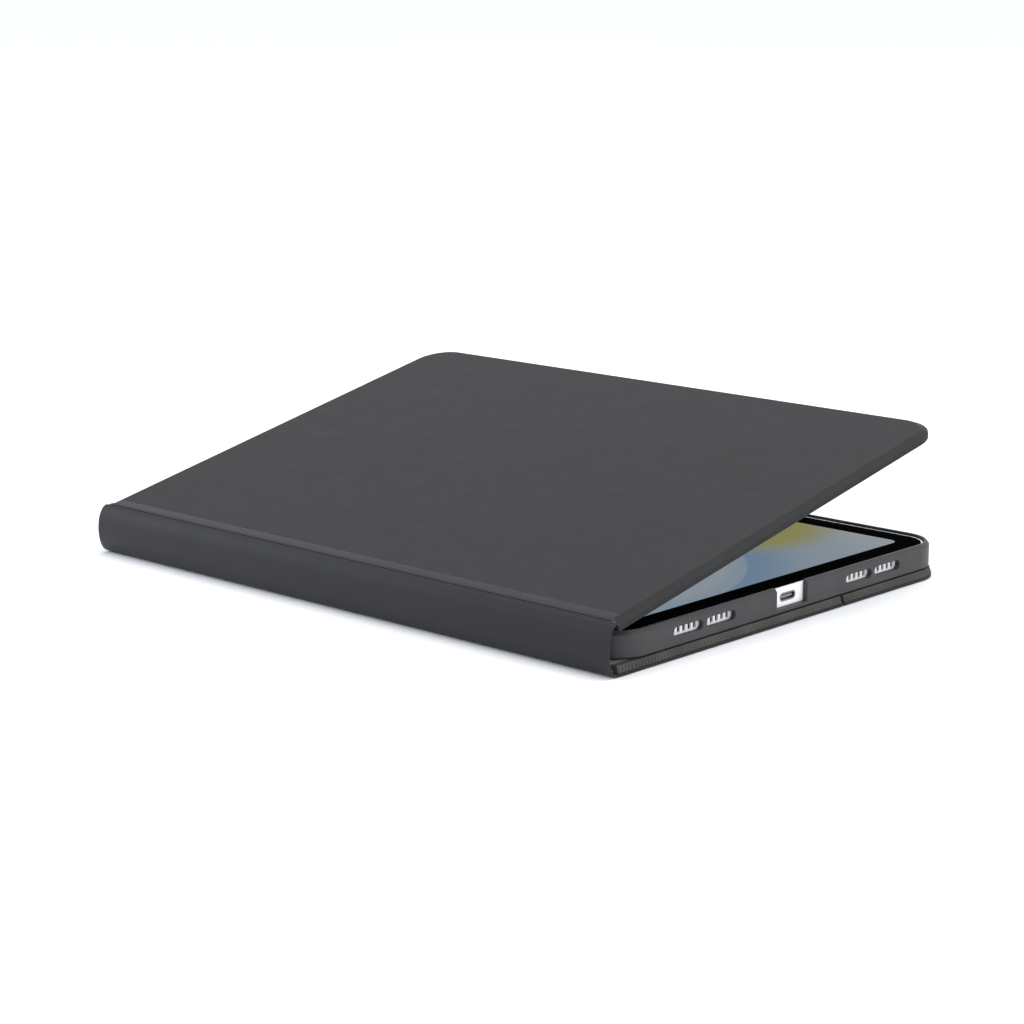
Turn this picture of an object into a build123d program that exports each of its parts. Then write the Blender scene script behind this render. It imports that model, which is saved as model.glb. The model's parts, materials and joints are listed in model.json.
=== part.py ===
"""Tablet keyboard case, lying on its back cover with the keyboard lid a little open.

Millimetres.  +X runs along the spine towards the side with the charging port, +Y from the
spine to the free edge, +Z up.  The origin is on the table, in the middle of the footprint.
"""
import os
from math import cos, radians, sin

from build123d import *

# ---------------------------------------------------------------- tablet
tablet_width = 248.6
tablet_depth = 179.5
tablet_thickness = 7.0
tablet_corner = 12.5
tablet_rim = 0.9
tablet_edge_radius = 0.5
glass_thickness = 1.0
glass_fit = 0.05
bezel_width = 10.0
display_corner = 3.5
tablet_wall = 2.2
tablet_back = 1.2
port_width = 9.0
port_height = 3.2
port_depth = 2.0
port_tongue_height = 0.8
port_wall = 0.6
camera_inset = 21.0
camera_diameter = 12.0
camera_proud = 0.8
camera_edge_radius = 0.3
battery_width = 170.0
battery_depth = 120.0
battery_thickness = 3.6
speaker_holes = 5
speaker_hole_pitch = 2.75
speaker_hole_width = 1.6
speaker_hole_height = 2.5
speaker_hole_depth = 0.8

# ---------------------------------------------------------------- tablet holder
holder_wall = 1.8
holder_floor = 1.3
holder_lip = 0.85
holder_bevel_height = 1.2
holder_bevel_width = 1.0
holder_bottom_radius = 0.8
tablet_clearance = 0.25
port_notch_width = 17.0
port_notch_step = 0.3
speaker_slot_length = 15.2
speaker_slot_height = 3.4
port_side_speakers = (-55.6, -38.6, 38.6, 55.6)
plain_side_speakers = (-38.6, 38.6)
camera_hole = 18.0
camera_ring_width = 1.5
camera_ring_fit = 0.05
volume_length = 11.0
volume_spots = (-92.0, -76.0)
power_length = 13.0
power_from_centre = 63.0
button_height = 3.4
button_thickness = 1.1
button_proud = 0.3
button_clearance = 0.15
keeper_thickness = 0.4

# ---------------------------------------------------------------- back cover
skin_thickness = 0.8
skin_lip_height = 1.0
back_board_thickness = 1.8
lining_thickness = 0.8
cover_margin = 1.0
cover_corner = 15.5
edge_width = 3.2
edge_bottom_inset = 0.3
edge_top_inset = 1.0
holder_gap = 0.3
fold_from_tablet_centre = 28.5
fold_gap = 1.0
magnet_diameter = 10.0
magnet_thickness = 1.2
magnet_fit = 0.05
magnet_from_holder_edge = 30.0
magnet_pitch = 60.0
magnet_count = 4

# ---------------------------------------------------------------- spine
spine_bulge = 4.4
spine_height = 17.8
spine_skin_thickness = 0.9
spine_board_thickness = 0.7
spine_lining_thickness = 0.4
spine_board_margin = 3.0
spine_channel = 0.5
spine_joint_gap = 0.8

# ---------------------------------------------------------------- lid
lid_thickness = 3.6
lid_overhang = -1.6
lid_corner = 15.0
lid_skin_thickness = 0.9
lid_flange = 2.4
lid_bevel_width = 3.0
lid_bevel_height = 1.6
lid_closed_gap = 1.5
lid_open_angle = 12.2
lid_hinge_gap = 0.8
lid_hinge_inset = 0.5
lid_hinge_drop = 0.6
deck_thickness = 1.2
deck_clearance = 0.15
deck_rim_width = 1.4
deck_skin_step = 0.25

# ---------------------------------------------------------------- keys, in rows
key_pitch = 18.0
row_pitch = 17.5
function_row_pitch = 10.5
key_gap = 2.6
key_radius = 1.8
key_height = 0.9
key_proud = 0.3
key_travel = 1.0
key_edge_radius = 0.25
well_clearance = 0.5
row_units = 13.5
keys_front_margin = 7.0

row_widths = {
    "keys_function_row": [row_units / 14] * 14,
    "keys_number_row": [1] * 12 + [1.5],
    "keys_upper_row": [1.5] + [1] * 12,
    "keys_home_row": [1.75] + [1] * 10 + [1.75],
    "keys_lower_row": [2] + [1] * 10 + [1.5],
    "keys_modifier_row": [1, 1, 1, 1.25, 5, 1.25, 1, 1, 1],
}
space_bar_index = 4

# ---------------------------------------------------------------- under the keys
membrane_thickness = 0.15
base_plate_thickness = 0.4
plate_margin = 0.8
plate_corner = 14.0
dome_radius = 1.8
dome_height = 0.4
dome_clearance = 0.1
scissor_height = 0.35
scissor_bar = 0.9
scissor_length = 11.5
scissor_depth = 6.2

# ---------------------------------------------------------------- tablet slot in the deck
slot_from_hinge = 69.0
slot_width = 11.0
slot_depth = 0.9
slot_length = 216.0
slot_end_radius = 3.0
slot_strip_thickness = 0.6
slot_strip_fit = 0.1
slot_magnet_length = 20.0
slot_magnet_width = 6.0
slot_magnet_pitch = 26.0
slot_magnet_count = 7
closure_magnet_length = 16.0
closure_magnet_width = 1.6
closure_magnet_spread = 160.0

# ---------------------------------------------------------------- battery tray, electronics
cell_diameter = 20.0
cell_thickness = 1.6
cell_clearance = 0.2
cell_lift = 0.4
tray_wall = 1.6
tray_from_hinge = 44.0
tray_clearance = 0.2
contact_thickness = 0.4
contact_width = 5.0
contact_pitch = 9.0
board_length = 92.0
board_depth = 26.0
board_thickness = 0.6
board_lift = 0.1
board_x = -24.0
tail_clearance = 0.5
chip_count = 2
chip_size = 8.0
chip_height = 0.5
switch_x = 100.0
switch_length = 5.0
switch_width = 2.2
switch_travel = 3.0
switch_clearance = 0.2
switch_proud = 0.15
switch_thickness = 1.2
light_x = 88.0
light_diameter = 1.6
bumper_radius = 1.5
bumper_height = 0.2
bumper_inset = 5.0

# ---------------------------------------------------------------- worked-out sizes
holder_width = tablet_width + 2 * (holder_wall + tablet_clearance)
holder_depth = tablet_depth + 2 * (holder_wall + tablet_clearance)
holder_corner = tablet_corner + holder_wall + tablet_clearance
cover_width = holder_width + 2 * cover_margin
cover_depth = spine_bulge + spine_channel + holder_depth + cover_margin
spine_inner_y = spine_bulge - cover_depth / 2
cover_near_y = spine_inner_y + spine_joint_gap
cover_far_y = cover_depth / 2
holder_near_y = spine_inner_y + spine_channel
holder_mid_y = holder_near_y + holder_depth / 2
fold_y = holder_mid_y + fold_from_tablet_centre

board_z = skin_thickness
lining_z = board_z + back_board_thickness
cover_top_z = lining_z + lining_thickness
holder_z = cover_top_z + holder_gap
tablet_z = holder_z + holder_floor
tablet_top_z = tablet_z + tablet_thickness
tablet_mid_z = tablet_z + tablet_thickness / 2
glass_z = tablet_top_z - glass_thickness
holder_top_z = tablet_top_z + holder_lip

camera_x = camera_inset - tablet_width / 2
camera_y = holder_mid_y + tablet_depth / 2 - camera_inset
magnet_y = holder_near_y + magnet_from_holder_edge

hinge_y = spine_inner_y - lid_hinge_inset
hinge_z = spine_height - lid_hinge_drop
deck_drop = holder_top_z + lid_closed_gap - hinge_z
tilt = radians(lid_open_angle)
lid_frame = Plane(origin=(0, hinge_y, hinge_z), x_dir=(1, 0, 0), z_dir=(0, -sin(tilt), cos(tilt)))
lid_length = cover_far_y + lid_overhang - hinge_y
skin_level = lid_thickness - lid_skin_thickness
deck_inset = lid_flange + deck_clearance
membrane_level = key_height - key_proud + key_travel + dome_clearance + dome_height
base_plate_level = membrane_level + membrane_thickness
tail_x = -slot_magnet_pitch / 2
tail_width = slot_magnet_pitch - slot_magnet_length - 2 * tail_clearance
keys_end = lid_length - keys_front_margin
closure_s = (keys_end + plate_margin + lid_length - deck_inset - deck_rim_width) / 2
keys_start = keys_end - function_row_pitch - 5 * row_pitch
tray_length = 2 * cell_diameter + 3 * tray_wall + 4 * cell_clearance
tray_depth = cell_diameter + 2 * (tray_wall + cell_clearance)
tray_mid_x = (tray_length - cover_width) / 2
cell_x = (cell_diameter + tray_wall) / 2 + cell_clearance

os.makedirs("parts", exist_ok=True)


def save(part, name):
    """Label a finished piece and write it to its own file."""
    part.label = name
    export_step(part, f"parts/{name}.step")


def lid_level(height):
    """Plane parallel to the keyboard deck, a height above the deck's face."""
    return lid_frame.offset(deck_drop + height)


def rounded_far_end(width, near_y, far_y, corner):
    """Rectangle on the Y axis with square corners at near_y and rounded ones at far_y."""
    with Locations((0, (near_y + far_y) / 2)):
        Rectangle(width, far_y - near_y)
    fillet(vertices().group_by(Axis.Y)[-1], corner)


def cover_sketch(half_name, inset):
    """Plan of one half of the back cover, inset along its free edges only."""
    width = cover_width - 2 * inset
    if half_name == "lower":
        far_y = fold_y - fold_gap / 2
        with Locations((0, (cover_near_y + far_y) / 2)):
            Rectangle(width, far_y - cover_near_y)
    else:
        rounded_far_end(width, fold_y + fold_gap / 2, cover_far_y - inset, cover_corner - inset)


def drill_camera_hole(height):
    """Cut the camera opening up to a height above the table."""
    with BuildSketch(Plane.XY) as hole:
        with Locations((camera_x, camera_y)):
            Circle(camera_hole / 2)
    extrude(hole.sketch, amount=height, mode=Mode.SUBTRACT)


def magnet_discs(diameter, bottom_z, thickness, mode=Mode.ADD):
    """Row of discs under the tablet's spine side, where the holder parks on the back cover."""
    with BuildSketch(Plane.XY.offset(bottom_z)) as discs:
        with Locations((0, magnet_y)):
            with GridLocations(magnet_pitch, 1, magnet_count, 1):
                Circle(diameter / 2)
    extrude(discs.sketch, amount=thickness, mode=mode)


# ================================================================ back cover, in two halves
for half_name in ("lower", "upper"):
    is_upper = half_name == "upper"

    with BuildPart() as back_skin:
        with BuildSketch(Plane.XY):
            cover_sketch(half_name, 0)
        extrude(amount=skin_lip_height)
        with BuildSketch(Plane.XY.offset(skin_thickness)):
            cover_sketch(half_name, edge_width)
        extrude(amount=skin_lip_height, mode=Mode.SUBTRACT)
        if is_upper:
            drill_camera_hole(skin_lip_height)
    save(back_skin.part, f"back_skin_{half_name}")

    with BuildPart() as back_board:
        with BuildSketch(Plane.XY.offset(board_z)):
            cover_sketch(half_name, edge_width)
        extrude(amount=back_board_thickness)
        if is_upper:
            drill_camera_hole(lining_z)
        else:
            magnet_discs(magnet_diameter + 2 * magnet_fit, lining_z - magnet_thickness,
                         magnet_thickness, Mode.SUBTRACT)
    save(back_board.part, f"back_board_{half_name}")

    with BuildPart() as back_lining:
        with BuildSketch(Plane.XY.offset(lining_z)):
            cover_sketch(half_name, edge_width)
        extrude(amount=lining_thickness)
        if is_upper:
            drill_camera_hole(cover_top_z)
    save(back_lining.part, f"back_lining_{half_name}")

    # The ribbed edging stands on the skin's lip and leans in towards the holder.
    with BuildPart() as ribbed_edge:
        with BuildSketch(Plane.XY.offset(skin_lip_height)):
            cover_sketch(half_name, edge_bottom_inset)
        with BuildSketch(Plane.XY.offset(cover_top_z)):
            cover_sketch(half_name, edge_top_inset)
        loft()
        with BuildSketch(Plane.XY.offset(skin_lip_height)):
            cover_sketch(half_name, edge_width)
        extrude(amount=cover_top_z - skin_lip_height, mode=Mode.SUBTRACT)
    save(ribbed_edge.part, f"ribbed_edge_{half_name}")

with BuildPart() as stand_magnets:
    magnet_discs(magnet_diameter, lining_z - magnet_thickness, magnet_thickness)
save(stand_magnets.part, "stand_magnets")


# ================================================================ spine
def half_ellipse(inset, mode=Mode.ADD):
    """Half an ellipse, flat towards the tablet and bulging away from it."""
    with BuildLine() as outline:
        bulge = EllipticalCenterArc((spine_inner_y, spine_height / 2), spine_bulge - inset,
                                    spine_height / 2 - inset, start_angle=90, arc_size=180)
        Line(bulge @ 1, bulge @ 0)
    make_face(outline.edges(), mode=mode)


def spine_layer(inset, thickness, length, trim=0):
    """One curved layer of the spine, open at both ends; trim shortens its two long edges."""
    with BuildSketch(Plane.YZ) as section:
        half_ellipse(inset)
        half_ellipse(inset + thickness, Mode.SUBTRACT)
        if trim:
            with Locations((spine_inner_y, spine_height / 2)):
                Rectangle(2 * spine_bulge, spine_height - 2 * trim, mode=Mode.INTERSECT)
    extrude(section.sketch, amount=length / 2, both=True)


with BuildPart() as spine_skin:
    spine_layer(0, spine_skin_thickness, cover_width)
save(spine_skin.part, "spine_skin")

with BuildPart() as spine_board:
    spine_layer(spine_skin_thickness, spine_board_thickness, cover_width - 2 * edge_width, spine_board_margin)
save(spine_board.part, "spine_board")

with BuildPart() as spine_lining:
    spine_layer(spine_skin_thickness + spine_board_thickness, spine_lining_thickness,
                cover_width - edge_width)
save(spine_lining.part, "spine_lining")


# ================================================================ tablet holder
holder_far_y = holder_near_y + holder_depth
port_side = Plane(origin=(holder_width / 2, holder_mid_y, tablet_mid_z), x_dir=(0, 1, 0), z_dir=(1, 0, 0))
plain_side = Plane(origin=(-holder_width / 2, holder_mid_y, tablet_mid_z), x_dir=(0, 1, 0), z_dir=(-1, 0, 0))
far_side = Plane(origin=(0, holder_far_y, tablet_mid_z), x_dir=(1, 0, 0), z_dir=(0, 1, 0))
wall_reach = holder_wall + tablet_clearance / 2


def tablet_outline(grow):
    """Rounded rectangle along the tablet's edge, larger all round by grow."""
    with Locations((0, holder_mid_y)):
        RectangleRounded(tablet_width + 2 * grow, tablet_depth + 2 * grow, tablet_corner + grow)


def side_slots(plane, spots, length, height, depth, mode=Mode.SUBTRACT):
    """Round-ended slots along a side wall, cut from the wall's outer face inwards."""
    with BuildSketch(plane) as slots:
        with Locations(*[(spot, 0) for spot in spots]):
            SlotOverall(length, height)
    extrude(slots.sketch, amount=-depth, mode=mode)


with BuildPart() as holder_shell:
    with BuildSketch(Plane.XY.offset(holder_z)):
        tablet_outline(tablet_clearance + holder_wall)
    extrude(amount=holder_top_z - holder_z)
    fillet(faces().sort_by(Axis.Z)[0].edges(), holder_bottom_radius)
    rim_face = faces().sort_by(Axis.Z)[-1]
    chamfer(rim_face.edges(), holder_bevel_width, holder_bevel_height, reference=rim_face)
    with BuildSketch(Plane.XY.offset(tablet_z)):
        tablet_outline(tablet_clearance)
    extrude(amount=holder_top_z - tablet_z, mode=Mode.SUBTRACT)
    side_slots(port_side, port_side_speakers, speaker_slot_length, speaker_slot_height, wall_reach)
    side_slots(plain_side, plain_side_speakers, speaker_slot_length, speaker_slot_height, wall_reach)
    with BuildSketch(Plane.XY.offset(tablet_z + port_notch_step)):
        with Locations((holder_width / 2 - wall_reach / 2, holder_mid_y)):
            Rectangle(wall_reach, port_notch_width)
    extrude(amount=holder_top_z, mode=Mode.SUBTRACT)
    side_slots(plain_side, [power_from_centre], power_length + 2 * button_clearance,
               button_height + 2 * button_clearance, wall_reach)
    side_slots(far_side, volume_spots, volume_length + 2 * button_clearance,
               button_height + 2 * button_clearance, wall_reach)
    drill_camera_hole(tablet_z)
    magnet_discs(magnet_diameter + 2 * magnet_fit, holder_z, keeper_thickness, Mode.SUBTRACT)
save(holder_shell.part, "holder_shell")

with BuildPart() as keeper_plates:
    magnet_discs(magnet_diameter, holder_z, keeper_thickness)
save(keeper_plates.part, "keeper_plates")

with BuildPart() as camera_ring:
    with BuildSketch(Plane.XY):
        with Locations((camera_x, camera_y)):
            Circle(camera_hole / 2 - camera_ring_fit)
            Circle(camera_hole / 2 - camera_ring_width, mode=Mode.SUBTRACT)
    extrude(amount=tablet_z)
save(camera_ring.part, "camera_ring")


def save_button(plane, spot, length, name):
    """Cover over one of the tablet's buttons, standing a little out of the holder's wall."""
    with BuildPart() as button:
        side_slots(plane.offset(button_proud), [spot], length, button_height, button_thickness, Mode.ADD)
    save(button.part, name)


save_button(far_side, volume_spots[0], volume_length, "volume_up_cover")
save_button(far_side, volume_spots[1], volume_length, "volume_down_cover")
save_button(plain_side, power_from_centre, power_length, "power_cover")


# ================================================================ tablet
port_face = port_side.offset(-holder_wall - tablet_clearance)
plain_face = plain_side.offset(-holder_wall - tablet_clearance)


def speaker_recesses(plane, spots):
    """Groups of small oval holes in the tablet's edge, one group behind each holder slot."""
    with BuildSketch(plane) as holes:
        for spot in spots:
            with Locations((spot, 0)):
                with GridLocations(speaker_hole_pitch, 1, speaker_holes, 1):
                    SlotOverall(speaker_hole_height, speaker_hole_width, rotation=90)
    extrude(holes.sketch, amount=-speaker_hole_depth, mode=Mode.SUBTRACT)


with BuildPart() as tablet_shell:
    with BuildSketch(Plane.XY.offset(tablet_z)):
        tablet_outline(0)
    extrude(amount=tablet_thickness)
    fillet(faces().sort_by(Axis.Z)[0].edges(), tablet_edge_radius)
    fillet(faces().sort_by(Axis.Z)[-1].edges(), tablet_edge_radius)
    with BuildSketch(Plane.XY.offset(glass_z)):
        tablet_outline(-tablet_rim)
    extrude(amount=glass_thickness, mode=Mode.SUBTRACT)
    with BuildSketch(Plane.XY.offset(tablet_z + tablet_back)):
        tablet_outline(-tablet_wall)
    extrude(amount=glass_z - tablet_z, mode=Mode.SUBTRACT)
    speaker_recesses(port_face, port_side_speakers)
    speaker_recesses(plain_face, plain_side_speakers)
    side_slots(port_face, [0], port_width, port_height, port_depth)
save(tablet_shell.part, "tablet_shell")

with BuildPart() as bezel_glass:
    with BuildSketch(Plane.XY.offset(glass_z)):
        tablet_outline(-tablet_rim - glass_fit)
    extrude(amount=glass_thickness)
    with BuildSketch(Plane.XY.offset(glass_z)):
        with Locations((0, holder_mid_y)):
            RectangleRounded(tablet_width - 2 * bezel_width, tablet_depth - 2 * bezel_width, display_corner)
    extrude(amount=glass_thickness, mode=Mode.SUBTRACT)
save(bezel_glass.part, "tablet_bezel_glass")

with BuildPart() as display:
    with BuildSketch(Plane.XY.offset(glass_z)):
        with Locations((0, holder_mid_y)):
            RectangleRounded(tablet_width - 2 * bezel_width, tablet_depth - 2 * bezel_width, display_corner)
    extrude(amount=glass_thickness)
save(display.part, "tablet_display")

with BuildPart() as charging_port:
    side_slots(port_face, [0], port_width, port_height, port_depth, Mode.ADD)
    side_slots(port_face, [0], port_width - port_wall * 2, port_height - port_wall * 2, port_depth - port_wall)
    with BuildSketch(port_face.offset(port_wall - port_depth)):
        SlotOverall(port_width - 4 * port_wall, port_tongue_height)
    extrude(amount=port_depth - 2 * port_wall)
save(charging_port.part, "tablet_port")

with BuildPart() as rear_camera:
    with BuildSketch(Plane.XY.offset(tablet_z - camera_proud)):
        with Locations((camera_x, camera_y)):
            Circle(camera_diameter / 2)
    extrude(amount=camera_proud)
    fillet(faces().sort_by(Axis.Z)[0].edges(), camera_edge_radius)
save(rear_camera.part, "tablet_camera")

with BuildPart() as battery:
    with BuildSketch(Plane.XY.offset(tablet_z + tablet_back)):
        with Locations((0, holder_mid_y)):
            RectangleRounded(battery_width, battery_depth, tablet_wall)
    extrude(amount=battery_thickness)
save(battery.part, "tablet_battery")


# ================================================================ keyboard lid
lid_up = Axis(lid_frame.origin, lid_frame.z_dir)


def lid_outline(inset):
    """Lid plan, inset all round: square at the hinge, rounded at the free corners."""
    rounded_far_end(cover_width - 2 * inset, lid_hinge_gap + inset, lid_length - inset, lid_corner - inset)


def tray_block(level, height, clearance, mode):
    """Space of the battery tray, from beyond the lid's side edge to the tray's inner end."""
    with BuildSketch(lid_level(level)) as block:
        with Locations((tray_mid_x, tray_from_hinge)):
            Rectangle(tray_length + 2 * clearance, tray_depth + 2 * clearance)
    extrude(block.sketch, amount=height, mode=mode)


def row_keys():
    """Name, width and place of every key: (row, unit width, x, distance from the hinge, depth)."""
    keys = []
    row_near = keys_start
    for row, widths in row_widths.items():
        depth = function_row_pitch if row == "keys_function_row" else row_pitch
        x = -row_units * key_pitch / 2
        for index, units in enumerate(widths):
            name = "key_space" if row == "keys_modifier_row" and index == space_bar_index else row
            keys.append((name, units, x + units * key_pitch / 2, row_near + depth / 2, depth))
            x += units * key_pitch
        row_near += depth
    return keys


keys = row_keys()


def key_outlines(wanted, grow=0):
    """Rounded outlines of the keys whose row is in wanted, larger all round by grow."""
    for name, units, x, s, depth in keys:
        if name in wanted:
            with Locations((x, s)):
                RectangleRounded(units * key_pitch - key_gap + 2 * grow, depth - key_gap + 2 * grow,
                                 key_radius + grow)


key_names = list(dict.fromkeys(name for name, *_ in keys))

with BuildPart() as lid_skin:
    with BuildSketch(lid_level(deck_skin_step)):
        lid_outline(0)
    extrude(amount=lid_thickness - deck_skin_step)
    lid_face = faces().sort_by(lid_up)[-1]
    chamfer(lid_face.edges().sort_by(Axis.Y)[1:], lid_bevel_width, lid_bevel_height, reference=lid_face)
    with BuildSketch(lid_level(deck_skin_step)):
        lid_outline(lid_flange)
    extrude(amount=skin_level - deck_skin_step, mode=Mode.SUBTRACT)
    tray_block(deck_skin_step, skin_level - deck_skin_step, tray_clearance, Mode.SUBTRACT)
save(lid_skin.part, "lid_skin")

with BuildPart() as deck:
    with BuildSketch(lid_level(0)):
        lid_outline(deck_inset)
    extrude(amount=skin_level)
    with BuildSketch(lid_level(deck_thickness)):
        lid_outline(deck_inset + deck_rim_width)
    extrude(amount=skin_level, mode=Mode.SUBTRACT)
    with BuildSketch(lid_level(0)):
        key_outlines(key_names, well_clearance)
    extrude(amount=deck_thickness, mode=Mode.SUBTRACT)
    with BuildSketch(lid_level(0)):
        with Locations((0, slot_from_hinge)):
            RectangleRounded(slot_length, slot_width, slot_end_radius)
    extrude(amount=slot_depth, mode=Mode.SUBTRACT)
    tray_block(cell_lift - tray_clearance, skin_level, tray_clearance, Mode.SUBTRACT)
    with BuildSketch(lid_level(0)):
        with Locations((switch_x + switch_travel / 2, tray_from_hinge)):
            SlotOverall(switch_length + switch_travel + 2 * switch_clearance,
                        switch_width + 2 * switch_clearance)
        with Locations((light_x, tray_from_hinge)):
            Circle(light_diameter / 2)
    extrude(amount=deck_thickness, mode=Mode.SUBTRACT)
save(deck.part, "keyboard_deck")

for name in key_names:
    with BuildPart() as row:
        with BuildSketch(lid_level(-key_proud)):
            key_outlines([name])
        extrude(amount=key_height)
        fillet(edges().group_by(lid_up)[0], key_edge_radius)
    save(row.part, name)

with BuildPart() as scissors:
    with BuildSketch(lid_level(membrane_level - scissor_height)):
        for name, units, x, s, depth in keys:
            with Locations((x, s)):
                Rectangle(scissor_length, scissor_depth)
                Rectangle(scissor_length - 2 * scissor_bar, scissor_depth - 2 * scissor_bar,
                          mode=Mode.SUBTRACT)
    extrude(amount=scissor_height)
save(scissors.part, "key_scissors")

with BuildPart() as domes:
    with BuildSketch(lid_level(membrane_level - dome_height)):
        with Locations(*[(x, s) for name, units, x, s, depth in keys]):
            Circle(dome_radius)
    extrude(amount=dome_height)
save(domes.part, "key_domes")

plate_width = row_units * key_pitch

with BuildPart() as membrane:
    with BuildSketch(lid_level(membrane_level)):
        rounded_far_end(plate_width, keys_start, keys_end, plate_corner)
        with Locations((tail_x, (keys_start + tray_from_hinge) / 2)):
            Rectangle(tail_width, keys_start - tray_from_hinge)
    extrude(amount=membrane_thickness)
save(membrane.part, "key_membrane")

with BuildPart() as base_plate:
    with BuildSketch(lid_level(base_plate_level)):
        rounded_far_end(plate_width + 2 * plate_margin, keys_start - plate_margin,
                        keys_end + plate_margin, plate_corner)
    extrude(amount=base_plate_thickness)
save(base_plate.part, "key_base_plate")

with BuildPart() as board:
    with BuildSketch(lid_level(membrane_level - board_lift - board_thickness)):
        with Locations((board_x, tray_from_hinge)):
            Rectangle(board_length, board_depth)
    extrude(amount=board_thickness)
    with BuildSketch(lid_level(membrane_level - board_lift)):
        with Locations((board_x, tray_from_hinge)):
            with GridLocations(board_length / chip_count, 1, chip_count, 1):
                Rectangle(chip_size, chip_size)
    extrude(amount=chip_height)
save(board.part, "keyboard_board")

# The tray holds two coin cells side by side and slides out of the lid's plain side.
with BuildPart() as tray:
    tray_block(cell_lift, cell_thickness, 0, Mode.ADD)
    with BuildSketch(lid_level(cell_lift)):
        with Locations((tray_mid_x - cell_x, tray_from_hinge), (tray_mid_x + cell_x, tray_from_hinge)):
            Circle(cell_diameter / 2 + cell_clearance)
    extrude(amount=cell_thickness, mode=Mode.SUBTRACT)
save(tray.part, "battery_tray")

with BuildPart() as cells:
    with BuildSketch(lid_level(cell_lift)):
        with Locations((tray_mid_x - cell_x, tray_from_hinge), (tray_mid_x + cell_x, tray_from_hinge)):
            Circle(cell_diameter / 2)
    extrude(amount=cell_thickness)
save(cells.part, "coin_cells")

with BuildPart() as contacts:
    with BuildSketch(lid_level(deck_thickness)):
        with Locations((tray_mid_x + tray_length / 2 + 2 * tray_clearance + contact_thickness / 2,
                        tray_from_hinge)):
            with GridLocations(1, contact_pitch, 1, 2):
                Rectangle(contact_thickness, contact_width)
    extrude(amount=skin_level - deck_thickness)
save(contacts.part, "battery_contacts")

with BuildPart() as power_switch:
    with BuildSketch(lid_level(-switch_proud)):
        with Locations((switch_x, tray_from_hinge)):
            SlotOverall(switch_length, switch_width)
    extrude(amount=switch_thickness)
save(power_switch.part, "power_switch")

with BuildPart() as status_light:
    with BuildSketch(lid_level(0)):
        with Locations((light_x, tray_from_hinge)):
            Circle(light_diameter / 2)
    extrude(amount=deck_thickness)
save(status_light.part, "status_light")

with BuildPart() as slot_strip:
    with BuildSketch(lid_level(slot_depth - slot_strip_thickness)):
        with Locations((0, slot_from_hinge)):
            RectangleRounded(slot_length - 2 * slot_strip_fit, slot_width - 2 * slot_strip_fit,
                             slot_end_radius - slot_strip_fit)
    extrude(amount=slot_strip_thickness)
save(slot_strip.part, "slot_strip")

with BuildPart() as slot_magnets:
    with BuildSketch(lid_level(deck_thickness)):
        with Locations((0, slot_from_hinge)):
            with GridLocations(slot_magnet_pitch, 1, slot_magnet_count, 1):
                Rectangle(slot_magnet_length, slot_magnet_width)
    extrude(amount=magnet_thickness)
save(slot_magnets.part, "slot_magnets")

with BuildPart() as closure_magnets:
    with BuildSketch(lid_level(deck_thickness)):
        with Locations((0, closure_s)):
            with GridLocations(closure_magnet_spread, 1, 2, 1):
                Rectangle(closure_magnet_length, closure_magnet_width)
    extrude(amount=magnet_thickness)
save(closure_magnets.part, "closure_magnets")

with BuildPart() as bumpers:
    with BuildSketch(lid_level(-bumper_height)):
        with Locations((0, (slot_from_hinge + keys_end) / 2)):
            with GridLocations(cover_width - 2 * bumper_inset, keys_end - slot_from_hinge - 4 * bumper_inset, 2, 2):
                Circle(bumper_radius)
    extrude(amount=bumper_height)
save(bumpers.part, "deck_bumpers")
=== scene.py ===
"""Looks of the tablet keyboard case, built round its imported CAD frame.

Everything is in metres, in the CAD frame: +X along the spine towards the charging port,
+Y from the spine to the free edge, +Z up.
"""
import json
from math import cos, pi, radians, sin

import bpy
from mathutils import Matrix, Vector


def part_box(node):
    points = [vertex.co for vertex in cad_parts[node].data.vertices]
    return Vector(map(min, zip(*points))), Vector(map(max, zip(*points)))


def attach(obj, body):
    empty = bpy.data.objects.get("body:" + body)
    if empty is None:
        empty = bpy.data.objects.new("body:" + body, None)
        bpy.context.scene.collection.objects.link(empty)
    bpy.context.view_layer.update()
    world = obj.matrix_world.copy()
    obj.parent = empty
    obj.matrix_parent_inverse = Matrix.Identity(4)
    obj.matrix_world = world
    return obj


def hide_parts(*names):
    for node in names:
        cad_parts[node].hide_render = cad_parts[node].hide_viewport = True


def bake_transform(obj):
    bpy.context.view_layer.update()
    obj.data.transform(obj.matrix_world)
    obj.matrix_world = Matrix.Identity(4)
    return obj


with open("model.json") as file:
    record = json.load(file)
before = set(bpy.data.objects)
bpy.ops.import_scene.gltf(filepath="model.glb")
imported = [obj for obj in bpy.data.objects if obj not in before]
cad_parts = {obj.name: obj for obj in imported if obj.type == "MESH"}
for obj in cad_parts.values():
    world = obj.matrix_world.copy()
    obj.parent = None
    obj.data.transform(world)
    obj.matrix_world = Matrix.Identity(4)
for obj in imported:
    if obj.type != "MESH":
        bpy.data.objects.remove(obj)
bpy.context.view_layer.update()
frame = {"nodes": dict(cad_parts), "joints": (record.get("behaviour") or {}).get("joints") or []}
nodes = frame["nodes"]
MM = 0.001


# ------------------------------------------------------------------ sizes from the frame
spine_low, spine_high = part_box("spine_skin")
lower_low, lower_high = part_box("back_skin_lower")
upper_low, upper_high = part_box("back_skin_upper")
rib_low, rib_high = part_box("ribbed_edge_upper")
shell_low, shell_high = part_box("tablet_shell")

half_width = upper_high.x
spine_inner_y = spine_high.y
spine_bulge = spine_high.y - spine_low.y
spine_mid_z = (spine_high.z + spine_low.z) / 2
spine_half_height = (spine_high.z - spine_low.z) / 2
fold_y = (lower_high.y + upper_low.y) / 2

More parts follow.
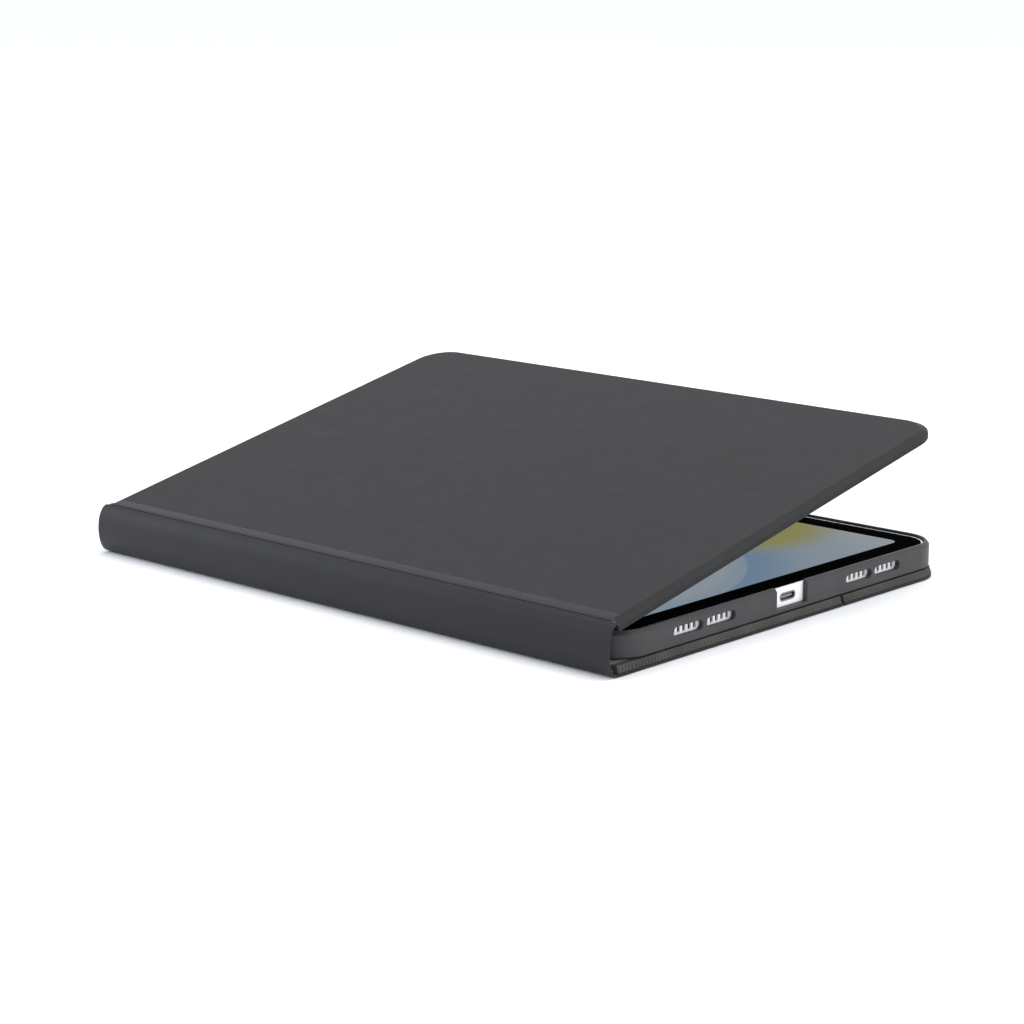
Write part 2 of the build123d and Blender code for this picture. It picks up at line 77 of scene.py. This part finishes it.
lid_joint = next(j for j in frame["joints"] if j["name"] == "lid_fold")
lid_tilt = radians(12.2)
hinge = Vector((0, spine_inner_y - 0.5 * MM, spine_high.z - 0.6 * MM))
lid_top_level = 0.75 * MM       # the lid's top face above the hinge line, square to the lid

WRAP_THICKNESS = 0.9 * MM
WRAP_END_RADIUS = 0.35 * MM
COVER_CORNER = 15.5 * MM
RIB_PITCH = 1.6 * MM


# ------------------------------------------------------------------ materials
class Finish:
    """A procedural material, painted in object space so that its grain has a real size."""

    def __init__(self, name, roughness=0.5, metallic=0.0, **inputs):
        self.material = bpy.data.materials.new(name)
        self.material.use_nodes = True
        self.tree = self.material.node_tree
        self.shader = self.tree.nodes["Principled BSDF"]
        self.coordinates = self.node("ShaderNodeTexCoord").outputs["Object"]
        self.normal = None
        self.shader.inputs["Roughness"].default_value = roughness
        self.shader.inputs["Metallic"].default_value = metallic
        for key, value in inputs.items():
            self.shader.inputs[key.replace("_", " ")].default_value = value

    def node(self, kind, **values):
        made = self.tree.nodes.new(kind)
        for key, value in values.items():
            if key in made.inputs:
                made.inputs[key].default_value = value
            else:
                setattr(made, key, value)
        return made

    def link(self, output, socket):
        self.tree.links.new(output, socket)

    def stretched(self, scale):
        """Object coordinates scaled by a vector, for grain that runs one way."""
        mapping = self.node("ShaderNodeMapping")
        mapping.inputs["Scale"].default_value = scale
        self.link(self.coordinates, mapping.inputs["Vector"])
        return mapping.outputs["Vector"]

    def noise(self, size, detail=3.0, roughness=0.5, scale=None):
        """Noise with features about size metres across."""
        made = self.node("ShaderNodeTexNoise", Scale=1 / size, Detail=detail, Roughness=roughness)
        self.link(self.stretched(scale) if scale else self.coordinates, made.inputs["Vector"])
        return made.outputs["Fac"]

    def cells(self, size, feature="DISTANCE_TO_EDGE", randomness=1.0):
        """Pebbled cells about size metres across."""
        made = self.node("ShaderNodeTexVoronoi", Scale=1 / size, Randomness=randomness)
        made.feature = feature
        self.link(self.coordinates, made.inputs["Vector"])
        return made.outputs["Distance"]

    def colour(self, value, dark, light, low=0.35, high=0.65):
        """Base colour from dark to light as value goes from low to high."""
        ramp = self.node("ShaderNodeValToRGB")
        first, last = ramp.color_ramp.elements
        first.position, last.position = low, high
        first.color, last.color = (*dark, 1), (*light, 1)
        self.link(value, ramp.inputs["Fac"])
        self.link(ramp.outputs["Color"], self.shader.inputs["Base Color"])
        return self

    def rough(self, value, smooth, matte, low=0.3, high=0.7):
        """Roughness from smooth to matte as value goes from low to high."""
        spread = self.node("ShaderNodeMapRange")
        for key, number in (("From Min", low), ("From Max", high), ("To Min", smooth), ("To Max", matte)):
            spread.inputs[key].default_value = number
        self.link(value, spread.inputs["Value"])
        self.link(spread.outputs["Result"], self.shader.inputs["Roughness"])
        return self

    def bump(self, value, height, strength=1.0):
        """Relief of about height metres from value, over any relief that is there already."""
        made = self.node("ShaderNodeBump", Strength=strength, Distance=height)
        self.link(value, made.inputs["Height"])
        if self.normal:
            self.link(self.normal, made.inputs["Normal"])
        self.normal = made.outputs["Normal"]
        self.link(self.normal, self.shader.inputs["Normal"])
        return self


def soft_touch(name, dark, light, smooth, matte, grain=0.35 * MM, relief=0.02 * MM):
    """Rubbery coated leatherette: pebbled grain, faint mottling and uneven sheen."""
    made = Finish(name, Specular_IOR_Level=0.16, Sheen_Weight=0.02, Sheen_Roughness=0.5)
    made.colour(made.noise(18 * MM, 5), dark, light)
    made.rough(made.noise(7 * MM, 4), smooth, matte)
    made.bump(made.cells(grain), relief, 0.5)
    made.bump(made.noise(grain * 0.5, 2), relief * 0.6, 0.5)
    return made


def moulded(name, dark, light, smooth, matte, grain=0.16 * MM, relief=0.008 * MM):
    """Satin moulded plastic with fine spark-eroded texture."""
    made = Finish(name, Specular_IOR_Level=0.25)
    made.colour(made.noise(14 * MM, 4), dark, light)
    made.rough(made.noise(4 * MM, 3), smooth, matte)
    made.bump(made.noise(grain, 3, 0.7), relief, 0.5)
    return made


def brushed(name, dark, light, smooth, matte, along=(1, 30, 30)):
    """Metal brushed along one direction."""
    made = Finish(name, metallic=1.0)
    streaks = made.noise(2 * MM, 4, 0.6, along)
    made.colour(streaks, dark, light)
    made.rough(streaks, smooth, matte)
    made.bump(streaks, 0.004 * MM, 0.4)
    return made


def woven(name, dark, light, thread=0.45 * MM):
    """Napped microfibre lining with a fine crossed weave under the nap."""
    made = Finish(name, roughness=0.92, Specular_IOR_Level=0.2, Sheen_Weight=0.3, Sheen_Roughness=0.6)
    made.colour(made.noise(3 * MM, 6, 0.7), dark, light)
    for direction in ("X", "Y"):
        weave = made.node("ShaderNodeTexWave", Scale=0.05 / thread, Distortion=1.2, Detail=2.0)
        weave.bands_direction = direction
        made.link(made.coordinates, weave.inputs["Vector"])
        made.bump(weave.outputs["Fac"], 0.02 * MM, 0.5)
    made.bump(made.noise(0.25 * MM, 3), 0.03 * MM, 0.6)
    return made


cover = soft_touch("cover_soft_touch", (0.0165, 0.0165, 0.0174), (0.0175, 0.0175, 0.0185), 0.58, 0.62)
# the spine's skin is the cover's leatherette made lighter and bluer: painted highlight along the spine
spine = soft_touch("spine_soft_touch", (0.0215, 0.0215, 0.0250), (0.0230, 0.0230, 0.0268), 0.46, 0.50)
holder = moulded("holder_satin_plastic", (0.040, 0.0395, 0.0415), (0.046, 0.0455, 0.048), 0.42, 0.5)
ribs = moulded("edge_rubber", (0.048, 0.047, 0.043), (0.070, 0.069, 0.064), 0.5, 0.66, 0.1 * MM, 0.012 * MM)
deck = moulded("deck_fine_grain", (0.035, 0.035, 0.037), (0.041, 0.041, 0.043), 0.5, 0.6)
keycap = moulded("keycap_satin", (0.020, 0.020, 0.021), (0.025, 0.025, 0.026), 0.38, 0.48, 0.09 * MM)
lining = woven("microfibre_lining", (0.040, 0.040, 0.043), (0.062, 0.062, 0.066))
fibreboard = moulded("grey_fibreboard", (0.16, 0.15, 0.14), (0.26, 0.25, 0.23), 0.85, 0.95, 0.5 * MM, 0.04 * MM)
tablet_body = moulded("blasted_aluminium", (0.86, 0.86, 0.87), (0.93, 0.93, 0.94), 0.34, 0.42, 0.06 * MM)
tablet_body.shader.inputs["Metallic"].default_value = 0.0
steel = brushed("brushed_steel", (0.42, 0.42, 0.43), (0.62, 0.62, 0.63), 0.25, 0.42)
magnet = brushed("nickelled_magnet", (0.55, 0.54, 0.50), (0.70, 0.69, 0.65), 0.18, 0.3, (8, 8, 1))
brass = brushed("brass_contact", (0.62, 0.42, 0.14), (0.78, 0.58, 0.25), 0.2, 0.36, (1, 1, 20))
port_metal = brushed("port_steel", (0.20, 0.20, 0.21), (0.32, 0.32, 0.33), 0.3, 0.45, (20, 1, 20))
battery = moulded("battery_pouch", (0.11, 0.11, 0.12), (0.17, 0.17, 0.18), 0.3, 0.5, 0.8 * MM, 0.06 * MM)
circuit = moulded("green_circuit_board", (0.010, 0.055, 0.030), (0.018, 0.090, 0.048), 0.3, 0.42, 0.6 * MM)
membrane = moulded("membrane_film", (0.30, 0.31, 0.32), (0.42, 0.43, 0.44), 0.25, 0.4, 1.0 * MM)
dome = moulded("silicone_dome", (0.45, 0.45, 0.46), (0.58, 0.58, 0.60), 0.45, 0.6, 0.3 * MM)
tray = moulded("tray_plastic", (0.030, 0.030, 0.032), (0.038, 0.038, 0.040), 0.45, 0.58)
grip = moulded("grip_rubber", (0.016, 0.016, 0.017), (0.023, 0.023, 0.024), 0.6, 0.75, 0.25 * MM, 0.02 * MM)
mesh_dark = moulded("speaker_mesh", (0.004, 0.004, 0.004), (0.016, 0.016, 0.017), 0.5, 0.7, 0.12 * MM, 0.03 * MM)

bezel = Finish("bezel_glass", Specular_IOR_Level=0.0)
bezel.colour(bezel.noise(30 * MM, 3), (0.0020, 0.0020, 0.0022), (0.0032, 0.0032, 0.0036))
bezel.rough(bezel.noise(12 * MM, 5), 0.12, 0.20)

light_pipe = Finish("status_light", roughness=0.3, Emission_Strength=0.15, Emission_Color=(0.4, 0.9, 0.5, 1))
light_pipe.colour(light_pipe.noise(0.4 * MM), (0.55, 0.62, 0.56), (0.75, 0.80, 0.76))
light_pipe.rough(light_pipe.noise(0.3 * MM), 0.25, 0.4)


def rings_material(name, centre, radii, shades, smooth, matte):
    """Flat disc with concentric zones round a vertical axis, such as a lens."""
    made = Finish(name, Coat_Weight=0.8, Coat_Roughness=0.05)
    away = made.node("ShaderNodeVectorMath", operation="DISTANCE")
    flat = made.node("ShaderNodeVectorMath", operation="MULTIPLY")
    flat.inputs[1].default_value = (1, 1, 0)
    made.link(made.coordinates, flat.inputs[0])
    made.link(flat.outputs["Vector"], away.inputs[0])
    away.inputs[1].default_value = (centre.x, centre.y, 0)
    share = made.node("ShaderNodeMapRange")
    share.inputs["From Max"].default_value = radii
    made.link(away.outputs["Value"], share.inputs["Value"])
    ramp = made.node("ShaderNodeValToRGB")
    ramp.color_ramp.interpolation = "EASE"
    elements = ramp.color_ramp.elements
    elements[0].color, elements[1].color = (*shades[0], 1), (*shades[-1], 1)
    for index, shade in enumerate(shades[1:-1], 1):
        elements.new(index / (len(shades) - 1)).color = (*shade, 1)
    made.link(share.outputs["Result"], ramp.inputs["Fac"])
    made.link(ramp.outputs["Color"], made.shader.inputs["Base Color"])
    made.rough(made.noise(1.5 * MM), smooth, matte)
    return made


camera_low, camera_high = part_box("tablet_camera")
lens = rings_material("camera_glass", (camera_low + camera_high) / 2, (camera_high.x - camera_low.x) / 2,
                      [(0.002, 0.003, 0.012), (0.006, 0.010, 0.030), (0.002, 0.002, 0.003),
                       (0.030, 0.030, 0.032), (0.006, 0.006, 0.007), (0.35, 0.35, 0.36)], 0.05, 0.12)


def display_material():
    """Lit screen with a generic wallpaper: pale blue, with broad soft arcs and a muted yellow field."""
    low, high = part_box("tablet_display")
    made = Finish("display_glow", Specular_IOR_Level=0.0)
    field = made.node("ShaderNodeTexWave", Scale=3.2, Distortion=2.5, Detail=1.0)
    field.wave_type = "RINGS"
    field.rings_direction = "Z"
    field.wave_profile = "SAW"
    shifted = made.node("ShaderNodeMapping")
    shifted.inputs["Location"].default_value = (-0.01, 0.05, 0)
    made.link(made.coordinates, shifted.inputs["Vector"])
    made.link(shifted.outputs["Vector"], field.inputs["Vector"])
    field.inputs["Detail Scale"].default_value = 0.8
    arcs = made.node("ShaderNodeValToRGB")
    arcs.color_ramp.interpolation = "EASE"
    stops = arcs.color_ramp.elements
    stops[0].color, stops[1].color = (0.42, 0.62, 0.86, 1), (0.58, 0.76, 0.93, 1)
    for position, shade in ((0.3, (0.66, 0.80, 0.93)), (0.62, (0.82, 0.89, 0.95)), (0.9, (0.72, 0.84, 0.94))):
        stops.new(position).color = (*shade, 1)
    made.link(field.outputs["Fac"], arcs.inputs["Fac"])
    away = made.node("ShaderNodeVectorMath", operation="DISTANCE")
    away.inputs[1].default_value = (low.x * 0.1 + high.x * 0.9 - 0.04, low.y * 0.15 + high.y * 0.85, high.z)
    made.link(made.coordinates, away.inputs[0])
    near = made.node("ShaderNodeMapRange")
    near.interpolation_type = "SMOOTHSTEP"
    for key, number in (("From Min", 0.050), ("From Max", 0.028), ("To Min", 0.0), ("To Max", 1.0)):
        near.inputs[key].default_value = number
    made.link(away.outputs["Value"], near.inputs["Value"])
    mix = made.node("ShaderNodeMix", data_type="RGBA")
    made.link(near.outputs["Result"], mix.inputs[0])
    made.link(arcs.outputs["Color"], mix.inputs[6])
    mix.inputs[7].default_value = (0.70, 0.66, 0.26, 1)
    made.link(mix.outputs[2], made.shader.inputs["Emission Color"])
    made.shader.inputs["Base Color"].default_value = (0.01, 0.011, 0.012, 1)
    made.shader.inputs["Emission Strength"].default_value = 0.33
    made.rough(made.noise(20 * MM, 3), 0.08, 0.14)
    return made


finishes = {
    cover: ["back_skin_lower", "back_skin_upper", "lid_skin"],
    spine: ["spine_skin"],
    lining: ["back_lining_lower", "back_lining_upper", "spine_lining"],
    fibreboard: ["back_board_lower", "back_board_upper", "spine_board"],
    ribs: ["ribbed_edge_lower", "ribbed_edge_upper"],
    holder: ["holder_shell", "camera_ring", "volume_up_cover", "volume_down_cover", "power_cover"],
    magnet: ["stand_magnets", "slot_magnets", "closure_magnets"],
    steel: ["keeper_plates", "key_base_plate", "coin_cells"],
    tablet_body: ["tablet_shell"],
    bezel: ["tablet_bezel_glass"],
    display_material(): ["tablet_display"],
    port_metal: ["tablet_port"],
    lens: ["tablet_camera"],
    battery: ["tablet_battery"],
    deck: ["keyboard_deck"],
    keycap: ["keys_function_row", "keys_number_row", "keys_upper_row", "keys_home_row",
             "keys_lower_row", "keys_modifier_row", "key_space"],
    tray: ["key_scissors", "battery_tray", "power_switch"],
    dome: ["key_domes"],
    membrane: ["key_membrane"],
    circuit: ["keyboard_board"],
    brass: ["battery_contacts"],
    light_pipe: ["status_light"],
    grip: ["slot_strip", "deck_bumpers"],
}
for finish, names in finishes.items():
    for node_name in names:
        mesh = nodes[node_name].data
        mesh.materials.clear()
        mesh.materials.append(finish.material)


# ------------------------------------------------------------------ mesh helpers
def mesh_object(name, vertices, faces, finish):
    """A smooth-shaded mesh object from its vertices and faces."""
    mesh = bpy.data.meshes.new(name)
    mesh.from_pydata(vertices, [], faces)
    mesh.validate()
    mesh.update()
    mesh.materials.append(finish.material)
    made = bpy.data.objects.new(name, mesh)
    bpy.context.scene.collection.objects.link(made)
    mesh.shade_smooth()
    mesh.set_sharp_from_angle(angle=radians(38))
    return made


def tube(rings):
    """Vertices and faces of a closed solid through rings of equal length, capped at both ends."""
    size = len(rings[0])
    vertices = [point for ring in rings for point in ring]
    faces = [(k * size + i, k * size + (i + 1) % size, (k + 1) * size + (i + 1) % size, (k + 1) * size + i)
             for k in range(len(rings) - 1) for i in range(size)]
    last = (len(rings) - 1) * size
    faces.append(tuple(reversed(range(size))))
    faces.append(tuple(last + i for i in range(size)))
    return vertices, faces


def spline(points, steps):
    """Smooth curve through points: a Catmull-Rom spline with steps parts between neighbours."""
    ends = [points[0] * 2 - points[1], *points, points[-1] * 2 - points[-2]]
    curve = []
    for a, b, c, d in zip(ends, ends[1:], ends[2:], ends[3:]):
        for k in range(steps):
            t = k / steps
            curve.append(0.5 * (2 * b + (c - a) * t + (2 * a - 5 * b + 4 * c - d) * t ** 2
                                + (3 * b - a - 3 * c + d) * t ** 3))
    return curve + [points[-1]]


def wrap(name, outer, inner, half_lengths, finish):
    """A bent skin along X between an outer and an inner line, with rounded ends."""
    turns = 6
    rings = []
    for side in (-1, 1):
        for k in range(turns + 1):
            turn = pi / 2 * (1 - k / turns if side < 0 else k / turns)
            inset = WRAP_END_RADIUS * (1 - cos(turn))
            back = WRAP_END_RADIUS * (1 - sin(turn))
            upper, lower = [], []
            for top, bottom, length in zip(outer, inner, half_lengths):
                shift = (bottom - top).normalized() * min(inset, (bottom - top).length * 0.45)
                offset = Vector((side * (length - back), 0, 0))
                upper.append(top + shift + offset)
                lower.append(bottom - shift + offset)
            rings.append(upper + lower[::-1])
    return mesh_object(name, *tube(rings), finish)


# ------------------------------------------------------------------ the skin round the spine
def spine_point(angle, inset=0.0):
    """Point on the spine's curve: angle 0 at its outermost line, 90 at its top edge."""
    turn = radians(angle)
    return Vector((0, spine_inner_y - (spine_bulge - inset) * cos(turn),
                   spine_mid_z + (spine_half_height - inset) * sin(turn)))


def lid_point(along, above):
    """Point in the lid's plane frame: along from the hinge, above the hinge line."""
    return hinge + Vector((0, along * cos(lid_tilt) - above * sin(lid_tilt),
                           along * sin(lid_tilt) + above * cos(lid_tilt)))


bend_angles = range(0, 73, 4)
crease_outer = spline([spine_point(72), spine_point(80), Vector((0, hinge.y - 0.25 * MM, spine_high.z + 0.02 * MM)),
                       lid_point(0.9 * MM, lid_top_level - 0.22 * MM), lid_point(2.1 * MM, lid_top_level + 0.05 * MM),
                       lid_point(3.6 * MM, lid_top_level + 0.09 * MM), lid_point(5.2 * MM, lid_top_level + 0.05 * MM),
                       lid_point(5.7 * MM, lid_top_level - 0.05 * MM)], 4)
crease_inner = spline([spine_point(72, WRAP_THICKNESS), spine_point(80, WRAP_THICKNESS),
                       Vector((0, hinge.y - 0.2 * MM, spine_high.z - WRAP_THICKNESS + 0.1 * MM)),
                       lid_point(0.8 * MM, -0.1 * MM), lid_point(2.1 * MM, 0.2 * MM),
                       lid_point(3.6 * MM, 0.3 * MM), lid_point(5.2 * MM, 0.4 * MM),
                       lid_point(5.6 * MM, lid_top_level - 0.4 * MM)], 4)
outer = [spine_point(angle) for angle in bend_angles][:-1] + crease_outer
inner = [spine_point(angle, WRAP_THICKNESS) for angle in bend_angles][:-1] + crease_inner
on_lid = [max(0.0, min(1.0, (point.y - hinge.y) / (2.2 * MM))) for point in outer]
lengths = [half_width - 3.0 * MM * share ** 1.5 for share in on_lid]
upper_wrap = wrap("spine_skin_upper_wrap", outer, inner, lengths, spine)
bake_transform(upper_wrap)
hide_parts("spine_skin")

bottom_outer = [spine_point(-angle) for angle in range(0, 89, 4)]
bottom_outer += [Vector((0, spine_inner_y, 0.01 * MM)), Vector((0, lower_low.y + 0.1 * MM, 0.05 * MM))]
bottom_inner = [spine_point(-angle, WRAP_THICKNESS) for angle in range(0, 89, 4)]
bottom_inner += [Vector((0, spine_inner_y, WRAP_THICKNESS)), Vector((0, lower_low.y + 0.1 * MM, 0.75 * MM))]
lower_wrap = wrap("spine_skin_lower_wrap", bottom_outer, bottom_inner, [half_width] * len(bottom_outer), spine)
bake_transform(lower_wrap)

# ------------------------------------------------------------------ the fold between the cover's halves
fold_ys = [fold_y + (k / 4 - 1) * 0.75 * MM for k in range(9)]
dips = [0.22 * MM * cos((k / 4 - 1) * pi / 2) for k in range(9)]
fold_outer = [Vector((0, y, 0.08 * MM + dip)) for y, dip in zip(fold_ys, dips)]
fold_inner = [Vector((0, y, 0.72 * MM)) for y in fold_ys]
fold_strip = wrap("back_fold_strip", fold_outer, fold_inner, [half_width - 0.15 * MM] * 9, cover)
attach(fold_strip, "holder")


# ------------------------------------------------------------------ ribbed edging
def edge_path(near_y, far_y, corner, step):
    """(point, outward direction) every step along the cover's edge, corner by corner."""
    path = []

    def straight(start, end, direction):
        count = max(1, round((end - start).length / step))
        for k in range(count):
            path.append((start.lerp(end, k / count), direction))

    def turn(centre, first):
        count = round(corner * pi / 2 / step)
        for k in range(count):
            angle = radians(first + 90 * k / count)
            direction = Vector((cos(angle), sin(angle), 0))
            path.append((centre + direction * corner, direction))

    x, side = half_width, Vector((1, 0, 0))
    straight(Vector((x, near_y, 0)), Vector((x, far_y - corner, 0)), side)
    if corner:
        turn(Vector((x - corner, far_y - corner, 0)), 0)
        straight(Vector((x - corner, far_y, 0)), Vector((corner - x, far_y, 0)), Vector((0, 1, 0)))
        turn(Vector((corner - x, far_y - corner, 0)), 90)
        straight(Vector((-x, far_y - corner, 0)), Vector((-x, near_y, 0)), -side)
    return path


def rib_band(name, path, finish):
    """Edging whose outer face is pressed into upright ribs, leaning in towards the holder."""
    samples = 8
    rows = 8
    bottom, top = rib_low.z, rib_high.z
    rings = []
    for index, (point, direction) in enumerate(path):
        crest = abs(cos(pi * index / samples)) ** 0.8
        ring = []
        for row in range(rows + 1):
            share = row / rows
            lean = (0.30 + 0.70 * share) * MM
            depth = 0.60 * MM * min(1, sin(pi * min(max(share, 0.04), 0.96)) * 2.2)
            ring.append(point - direction * (lean + depth * (0.5 - crest) * 0.9)
                        + Vector((0, 0, bottom + (top - bottom) * share)))
        for inset, level in ((2.2, 1.0), (3.2, 1.0), (3.2, 0.0)):
            ring.append(point - direction * inset * MM + Vector((0, 0, bottom + (top - bottom) * level)))
        rings.append(ring)
    return mesh_object(name, *tube(rings), finish)


rib_step = RIB_PITCH / 8
far_band = rib_band("ribbed_edging_upper", edge_path(upper_low.y, upper_high.y, COVER_CORNER, rib_step), ribs)
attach(far_band, "holder")
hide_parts("ribbed_edge_upper")
near_path = edge_path(lower_low.y, lower_high.y, 0, rib_step)
near_band = rib_band("ribbed_edging_lower_port_side", near_path, ribs)
mirrored = [(Vector((-p.x, p.y, 0)), -d) for p, d in reversed(near_path)]
plain_band = rib_band("ribbed_edging_lower_plain_side", mirrored, ribs)
for band in (near_band, plain_band):
    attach(band, "holder")
    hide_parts("ribbed_edge_lower")


# ------------------------------------------------------------------ speaker meshes
def oval_plates(name, centres, side, finish):
    """Small upright oval plates, a little domed, one at the bottom of each speaker hole."""
    turns = 20
    vertices, faces = [], []
    half_y, half_z, thick = 0.77 * MM, 1.22 * MM, 0.25 * MM
    for centre in centres:
        base = len(vertices)
        for depth, grow in ((0, 1.0), (thick * 0.7, 1.0), (thick, 0.82)):
            for k in range(turns):
                angle = 2 * pi * k / turns
                y, z = half_y * cos(angle), (half_z - half_y) * (1 if sin(angle) > 0 else -1) + half_y * sin(angle)
                vertices.append(centre + Vector((side * depth, y * grow, z * grow)))
        for ring in range(2):
            for k in range(turns):
                a, b = base + ring * turns + k, base + ring * turns + (k + 1) % turns
                quad = (a, b, b + turns, a + turns)
                faces.append(quad if side > 0 else quad[::-1])
        first, last = tuple(base + k for k in range(turns)), tuple(base + 2 * turns + k for k in range(turns))
        faces.append(first[::-1] if side > 0 else first)
        faces.append(last if side > 0 else last[::-1])
    return mesh_object(name, vertices, faces, finish)


tablet_middle = (shell_low + shell_high) / 2
hole_depth, hole_pitch, holes = 0.78 * MM, 2.75 * MM, 5
for label, side, spots in (("port_side", 1, (-55.6, -38.6, 38.6, 55.6)), ("plain_side", -1, (-38.6, 38.6))):
    face_x = shell_high.x - hole_depth if side > 0 else shell_low.x + hole_depth
    middles = [Vector((face_x, tablet_middle.y + side * spot * MM + (k - (holes - 1) / 2) * hole_pitch, tablet_middle.z))
               for spot in spots for k in range(holes)]
    meshes = oval_plates(f"speaker_mesh_{label}", middles, side, mesh_dark)
    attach(meshes, "tablet")


# ------------------------------------------------------------------ floor, light, camera
def floor_plane():
    """Wide, very pale floor that runs past the edge of the picture."""
    size, cuts = 60.0, 12
    vertices = [Vector((size * (i / cuts - 0.5), size * (j / cuts - 0.5), -0.3 * MM))
                for j in range(cuts + 1) for i in range(cuts + 1)]
    faces = [(j * (cuts + 1) + i, j * (cuts + 1) + i + 1, (j + 1) * (cuts + 1) + i + 1, (j + 1) * (cuts + 1) + i)
             for j in range(cuts) for i in range(cuts)]
    paper = Finish("studio_floor", roughness=0.9, Specular_IOR_Level=0.1)
    paper.colour(paper.noise(0.6, 3), (0.93, 0.935, 0.95), (0.94, 0.945, 0.96))
    return mesh_object("studio_floor", vertices, faces, paper)


floor_plane()


def soft_light(name, place, target, width, height, power, tint=(1, 1, 1)):
    """Rectangular softbox that faces target."""
    lamp = bpy.data.lights.new(name, "AREA")
    lamp.shape = "RECTANGLE"
    lamp.size, lamp.size_y = width, height
    lamp.energy = power
    lamp.color = tint
    made = bpy.data.objects.new(name, lamp)
    bpy.context.scene.collection.objects.link(made)
    made.location = place
    made.rotation_euler = (Vector(target) - Vector(place)).to_track_quat("-Z", "Y").to_euler()
    return made


soft_light("overhead_softbox", (0.2, 0.5, 1.9), (0, 0, 0), 2.2, 2.2, 22)
soft_light("left_softbox", (-1.5, -0.9, 0.7), (0, 0, 0), 1.2, 0.9, 7, (0.90, 0.95, 1.0))
soft_light("right_softbox", (1.7, 0.3, 0.6), (0.1, 0, 0), 1.0, 0.8, 5)

world = bpy.data.worlds.new("studio_air")
world.use_nodes = True
world.node_tree.nodes["Background"].inputs["Color"].default_value = (0.96, 0.98, 1.0, 1)
world.node_tree.nodes["Background"].inputs["Strength"].default_value = 1.08
bpy.context.scene.world = world
bpy.context.scene.view_settings.view_transform = "Standard"

lens_data = bpy.data.cameras.new("studio_camera")
lens_data.lens = 92.79
lens_data.sensor_width = 36.0
lens_data.clip_start, lens_data.clip_end = 0.05, 200.0
studio_camera = bpy.data.objects.new("studio_camera", lens_data)
bpy.context.scene.collection.objects.link(studio_camera)
camera_azimuth, camera_pitch, camera_roll = radians(42.975), radians(12.723), radians(-0.110)
studio_camera.matrix_world = (Matrix.Translation((0.64874, -0.69839, 0.23431))
                              @ Matrix.Rotation(camera_azimuth, 4, "Z")
                              @ Matrix.Rotation(pi / 2 - camera_pitch, 4, "X")
                              @ Matrix.Rotation(camera_roll, 4, "Z"))
bpy.context.scene.camera = studio_camera
